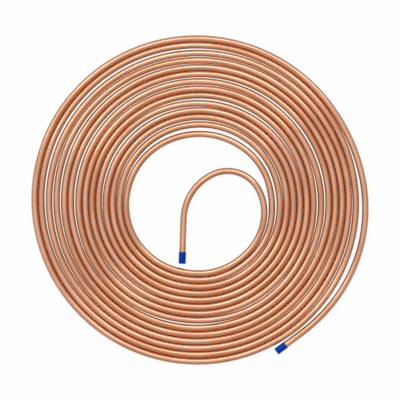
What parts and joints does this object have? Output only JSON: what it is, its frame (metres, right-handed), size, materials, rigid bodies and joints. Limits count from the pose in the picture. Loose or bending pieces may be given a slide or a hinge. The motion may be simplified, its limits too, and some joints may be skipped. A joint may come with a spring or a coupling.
{
  "type": "copper tube coil",
  "caption": "Flat loose spiral coil of soft bare copper tube, its inner end looped free across the open middle, with a blue vinyl cap on each end.",
  "frame": {"origin": "under the middle of the coil, on the plane that it lies on", "axes": "+Z up along the winding axis; +X to the right and +Y up as the coil is seen from above with its outer end at the lower right"},
  "size_m": [0.2459, 0.2402, 0.0055],
  "materials": {
    "copper": "bright drawn soft copper, faintly streaked along its length",
    "cap_vinyl": "glossy dip-moulded vinyl"
  },
  "bodies": {
    "root": {"copper_tube": "copper", "inner_end_cap": "cap_vinyl", "outer_end_cap": "cap_vinyl"}
  },
  "joints": []
}
